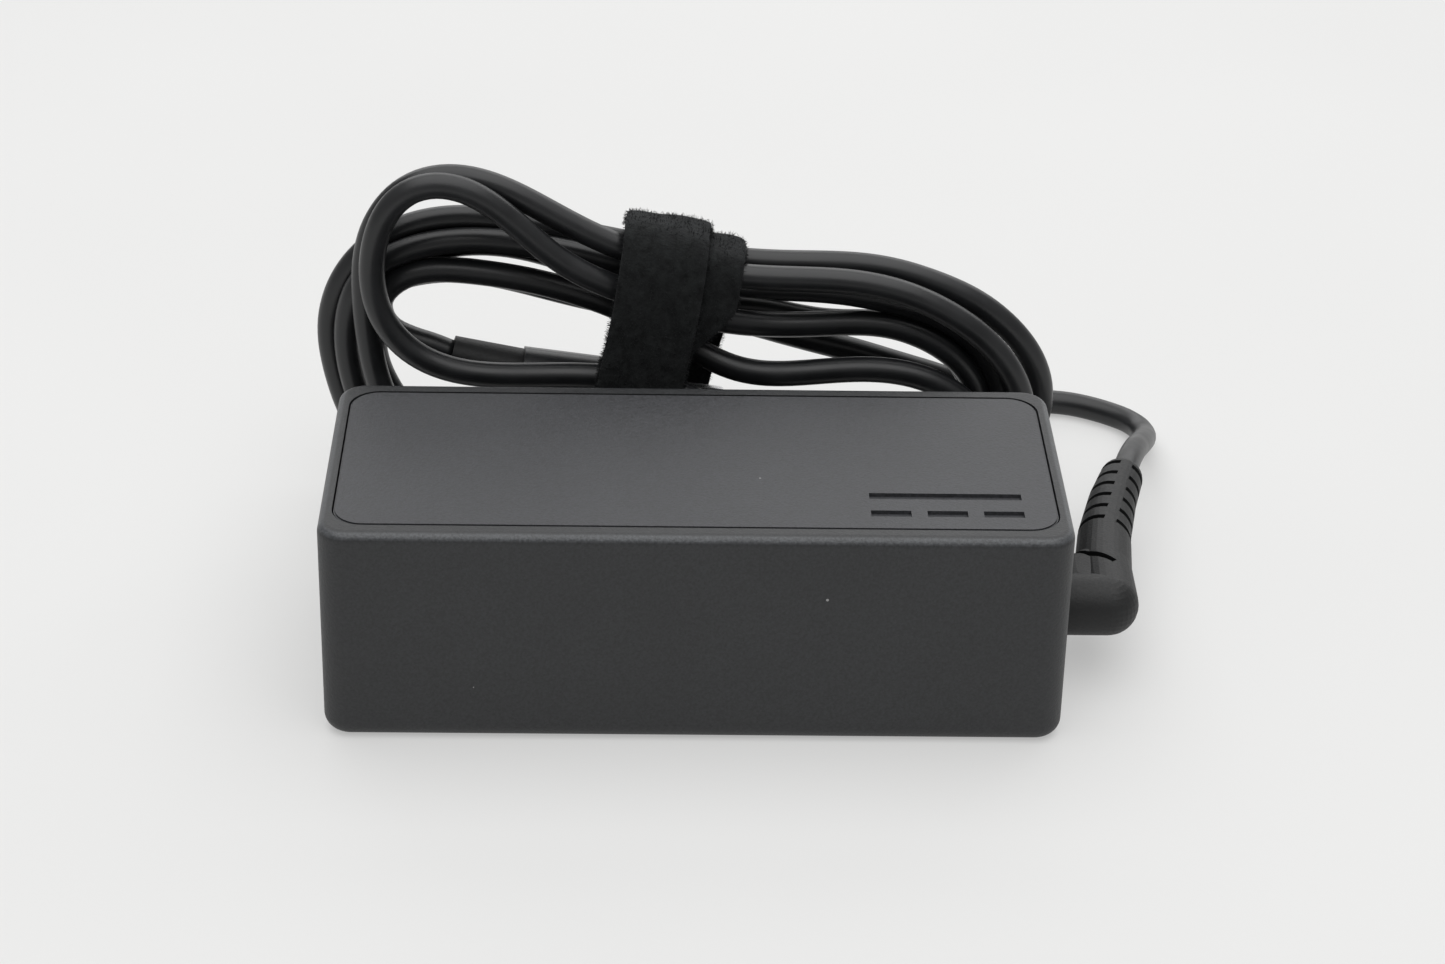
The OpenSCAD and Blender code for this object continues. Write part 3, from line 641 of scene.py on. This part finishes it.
# How far the loose end and the band lie off their middles, and the space between two layers
TAB_SHIFT = 0.3 * MM
TAB_INSET = 0.05 * MM
BAND_LIFT = 0.05
LAYER_GAP = 0.1
# The band's slow waves and how much its edges curl down, in mm
BAND_WAVE = 0.06
EDGE_DROOP = 0.35
# Middle of the part of the grip that the strap lies on, from the grip's start, and half its flat width
GRIP_UNDER_STRAP = 0.0195
GRIP_FLAT_HALF = 4.3 * MM
# Steps of the smoothing of the bundle's section, and the share of its change across the strap
SECTION_SMOOTHING = 10
SECTION_CHANGE = 0.6


def strap_frame():
    """Rows of the strap's own axes: across it, back and up."""
    c, s = math.cos(STRAP_TILT), math.sin(STRAP_TILT)
    return np.array(((c, 0, -s), (0, 1, 0), (s, 0, c)))


def hull_of(points):
    """Corners of the smallest convex outline round 2-D points, in order."""
    points = sorted(map(tuple, points))
    halves = []
    for run in (points, points[::-1]):
        half = []
        for p in run:
            while len(half) > 1:
                (ax, ay), (bx, by) = half[-2], half[-1]
                if (bx - ax) * (p[1] - ay) - (by - ay) * (p[0] - ax) > 0:
                    break
                half.pop()
            half.append(p)
        halves.append(half[:-1])
    return np.array(halves[0] + halves[1])


ROUND_STEPS = 240


def ray(step):
    """Direction from the bundle's middle at a step round it, as back and up."""
    angle = 2 * math.pi * step / ROUND_STEPS
    return np.array((-math.cos(angle), math.sin(angle)))


def bundle_section(reach):
    """Distance from the strap's middle to the outside of the strands and the grip, at one place
    across the strap's width, for each step round it: front, top, back, bottom."""
    axes = strap_frame()
    local = (cord_points - STRAP_AT) @ axes.T
    crossing = np.where((local[:-1, 0] - reach) * (local[1:, 0] - reach) <= 0)[0]
    dip, roll = GRIP_DIP, GRIP_ROLL
    middle = PLUG_START + RELIEF_L * heading(RELIEF_DIP) + GRIP_UNDER_STRAP * heading(dip)
    flat_way = np.array((math.sin(roll) * math.sin(dip), math.cos(roll), math.sin(roll) * math.cos(dip)))
    grip = np.array([(middle + side * GRIP_FLAT_HALF * flat_way - STRAP_AT) @ axes.T for side in (-1, 1)])
    turn = np.linspace(0, 2 * math.pi, 24, endpoint=False)
    rim = np.c_[np.cos(turn), np.sin(turn)] * (CORD_R + 0.1 * MM)
    corners = hull_of((np.vstack([local[crossing, 1:], grip[:, 1:]])[:, None] + rim).reshape(-1, 2))
    edges = np.roll(corners, -1, axis=0) - corners
    normals = np.c_[edges[:, 1], -edges[:, 0]] / np.linalg.norm(edges, axis=1)[:, None]
    offsets = (normals * corners).sum(1)
    rays = np.array([ray(i) for i in range(ROUND_STEPS)])
    return 1 / ((rays @ normals.T) / offsets).max(1)


def strap_round():
    """The bundle's mean section and how it changes across the strap, both smoothed."""
    places = np.linspace(-STRAP_W / 2, STRAP_W / 2, 7)
    sections = np.array([bundle_section(reach) for reach in places])
    mean = sections.mean(0)
    change = SECTION_CHANGE * (places @ (sections - mean)) / (places @ places)
    for _ in range(SECTION_SMOOTHING):
        mean, change = ((np.roll(v, 1) + 2 * v + np.roll(v, -1)) / 4 for v in (mean, change))
    return mean, change


# Where the band lies across the bundle, in mm, by steps round it; it starts low in front, slants to
# one side as it climbs, and its second layer runs straight over that
BAND_COURSE = (
    (-18, -3.0), (6, -2.8), (17, -2.0), (40, 3.0), (60, 3.8), (120, 3.2),
    (175, 1.0), (215, -3.0), (240, -2.9), (300, -1.4), (345, 0), (400, 0.3),
)
STEP_UP = (196, 226)


def band_grid(first, last, mean, change):
    """Inner and outer faces of the wound band, a spiral of nearly two layers."""
    axes = strap_frame()
    across = 15
    grid = np.zeros((2, last - first + 1, across, 3))
    steps, shifts = zip(*BAND_COURSE)
    for r, step in enumerate(range(first, last + 1)):
        shift = np.interp(step, steps, shifts) * MM
        up = np.clip((step - STEP_UP[0]) / (STEP_UP[1] - STEP_UP[0]), 0, 1)
        lift = (BAND_LIFT + (STRAP_T / MM + LAYER_GAP) * up * up * (3 - 2 * up)) * MM
        for q in range(across):
            side = q / (across - 1) * 2 - 1
            place = side * STRAP_W / 2 + shift
            here, before, after = (
                ray(k) * (mean[k % ROUND_STEPS] + change[k % ROUND_STEPS] * place)
                for k in (step, step - 2, step + 2)
            )
            way = after - before
            out = np.array((-way[1], way[0])) / np.hypot(*way)
            uneven = BAND_WAVE * (math.sin(step * 0.21 + q * 0.5) + math.sin(step * 0.09 - q * 0.9))
            droop = EDGE_DROOP * abs(side) ** 5
            for layer in (0, 1):
                height = lift + (uneven - droop * (0.4 + 0.6 * layer)) * MM + layer * STRAP_T
                yz = here + out * height
                grid[layer, r, q] = np.array((place, yz[0], yz[1])) @ axes + STRAP_AT
    return grid


def slab(name, grid, soften=0.35 * MM):
    """A closed slab from its inner and outer grids of points, with rounded edges."""
    _, rows, across, _ = grid.shape
    index = np.arange(2 * rows * across).reshape(2, rows, across)
    faces = []
    for r in range(rows - 1):
        for q in range(across - 1):
            a, b, c, d = index[1, r, q], index[1, r, q + 1], index[1, r + 1, q + 1], index[1, r + 1, q]
            faces.append((a, b, c, d))
            a, b, c, d = index[0, r, q], index[0, r, q + 1], index[0, r + 1, q + 1], index[0, r + 1, q]
            faces.append((d, c, b, a))
        for q in (0, across - 1):
            quad = (index[0, r, q], index[0, r + 1, q], index[1, r + 1, q], index[1, r, q])
            faces.append(quad if q == across - 1 else quad[::-1])
    for r in (0, rows - 1):
        for q in range(across - 1):
            quad = (index[0, r, q], index[0, r, q + 1], index[1, r, q + 1], index[1, r, q])
            faces.append(quad if r == 0 else quad[::-1])
    piece = new_mesh(name, grid.reshape(-1, 3), [tuple(int(v) for v in f) for f in faces])
    for kind, key, value in (("BEVEL", "width", soften), ("SUBSURF", "levels", 1)):
        modifier = piece.modifiers.new(kind.lower(), kind)
        setattr(modifier, key, value)
        if kind == "BEVEL":
            modifier.segments = 2
            modifier.limit_method = "ANGLE"
            modifier.angle_limit = math.radians(50)
        else:
            modifier.render_levels = 1
    return piece


def pile_on(name, grid, count, seed, length=0.75 * MM):
    """Fine curly fibres standing on the outer face and the edges of a slab."""
    random = np.random.default_rng(seed)
    _, rows, across, _ = grid.shape
    points, faces = [], []
    outward = grid[1] - grid[0]
    outward /= np.linalg.norm(outward, axis=2)[:, :, None]
    for _ in range(count):
        r, q = random.uniform(0, rows - 1.001), random.uniform(0, across - 1.001)
        on_edge = random.random() < 0.3
        if on_edge:
            q = 0.0 if random.random() < 0.5 else across - 1.001
        i, j = int(r), int(q)
        u, v = r - i, q - j
        def at(g):
            return (
                g[i, j] * (1 - u) * (1 - v) + g[i + 1, j] * u * (1 - v)
                + g[i, j + 1] * (1 - u) * v + g[i + 1, j + 1] * u * v
            )
        base, out = at(grid[1]), at(outward)
        if on_edge:
            base = at(grid[0]) * (1 - (w := random.random())) + base * w
            sideways = grid[1, i, j + 1] - grid[1, i, j]
            out = sideways / np.linalg.norm(sideways) * (-1 if j == 0 else 1) + out * 0.3
        lean = random.normal(0, 0.55, 3)
        way = out + lean
        way /= np.linalg.norm(way)
        bend = np.cross(way, random.normal(0, 1, 3))
        bend /= np.linalg.norm(bend)
        tall = length * random.uniform(0.5, 1.1)
        wide = np.cross(way, bend) * random.uniform(0.02, 0.04) * MM
        base = base - out * 0.12 * MM
        middle = base + way * tall * 0.6
        tip = middle + (way * 0.3 + bend * 0.45) * tall
        first = len(points)
        points += [base - wide, base + wide, middle + wide, middle - wide, tip]
        faces += [(first, first + 1, first + 2, first + 3), (first + 3, first + 2, first + 4)]
    return new_mesh(name, points, faces)


def tab_shape():
    """The loose end, hanging from its root with a rounded tip."""
    axes = strap_frame()
    rows, across = 28, 15
    tab = np.zeros((2, rows, across, 3))
    for r in range(rows):
        share = r / (rows - 1)
        drop = TAB_Z - share * TAB_L
        half_w = STRAP_W / 2 * math.sqrt(max(0.2, 1 - max(0, (share - TIP_FROM) / TIP_OVER) ** 2))
        curl = TAB_CURL * math.sin(share * 9)
        for q in range(across):
            place = (q / (across - 1) * 2 - 1) * half_w + TAB_SHIFT
            for layer in (0, 1):
                y = TAB_Y + (TAB_T / 2 - TAB_INSET) * (1 if layer else -1) + curl
                tab[layer, r, q] = np.array((place, y, drop)) @ axes + STRAP_AT
    return tab


def back_step(mean):
    """The step round the bundle at which the band's back reaches the loose end's root."""
    steps = np.arange(80, 120)
    heights = np.array([ray(k)[1] * mean[k] for k in steps])
    return int(steps[np.argmin(abs(heights - TAB_Z + 0.1 * MM))])


mean_section, section_change = strap_round()
band = band_grid(-18, ROUND_STEPS + back_step(mean_section), mean_section, section_change)
tab = tab_shape()
strap_band = slab("strap_band", band)
strap_end = slab("strap_loose_end", tab)
strap_pieces = [
    strap_band,
    strap_end,
    pile_on("strap_band_pile", band, count=14000, seed=3),
    pile_on("strap_end_pile", tab, count=2500, seed=5),
]
for piece in strap_pieces:
    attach(piece, "tab" if "end" in piece.name else "adapter")
    dress(piece, LOOKS["strap"])
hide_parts("strap")
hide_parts("strap_tab")


# ---- stage ----


def make_stage():
    """A plain pale floor, lit a little from within so that the shadows on it stay light."""
    size = 3.0
    floor_mesh = bpy.data.meshes.new("floor")
    corners = [(-size, -size, 0), (size, -size, 0), (size, size, 0), (-size, size, 0)]
    floor_mesh.from_pydata(corners, [], [(0, 1, 2, 3)])
    floor = bpy.data.objects.new("floor", floor_mesh)
    bpy.context.scene.collection.objects.link(floor)
    material, nodes, links, shader, place = new_material("floor")
    tone = noise(nodes, links, place, 6, 2)
    links.new(ramp(nodes, links, tone, [(0.3, (0.34, 0.34, 0.337)), (0.7, (0.36, 0.36, 0.357))]),
              shader.inputs["Base Color"])
    shader.inputs["Emission Color"].default_value = (1, 1, 0.992, 1)
    shader.inputs["Emission Strength"].default_value = 0.4
    shader.inputs["Roughness"].default_value = 0.9
    floor_mesh.materials.append(material)


def make_light(name, place, aim, size, power):
    data = bpy.data.lights.new(name, "AREA")
    data.shape = "RECTANGLE"
    data.size, data.size_y = size
    data.energy = power
    light = bpy.data.objects.new(name, data)
    light.location = place
    light.rotation_mode = "QUATERNION"
    light.rotation_quaternion = (Vector(aim) - Vector(place)).to_track_quat("-Z", "Y")
    bpy.context.scene.collection.objects.link(light)


def make_lighting():
    """Soft studio light: an even surround, a large light overhead and one behind."""
    world = bpy.data.worlds.new("studio")
    bpy.context.scene.world = world
    world.use_nodes = True
    sky = world.node_tree.nodes["Background"]
    sky.inputs["Color"].default_value = (1, 1, 1, 1)
    sky.inputs["Strength"].default_value = 0.32
    make_light("overhead", (0, -0.12, 0.8), (0, -0.12, 0), (1.2, 1.3), 8.8)
    make_light("behind", (0.1, 1.1, 0.62), (0, 0, 0.02), (1.8, 0.8), 6.8)
    bpy.context.scene.view_settings.view_transform = "Standard"


make_stage()
make_lighting()
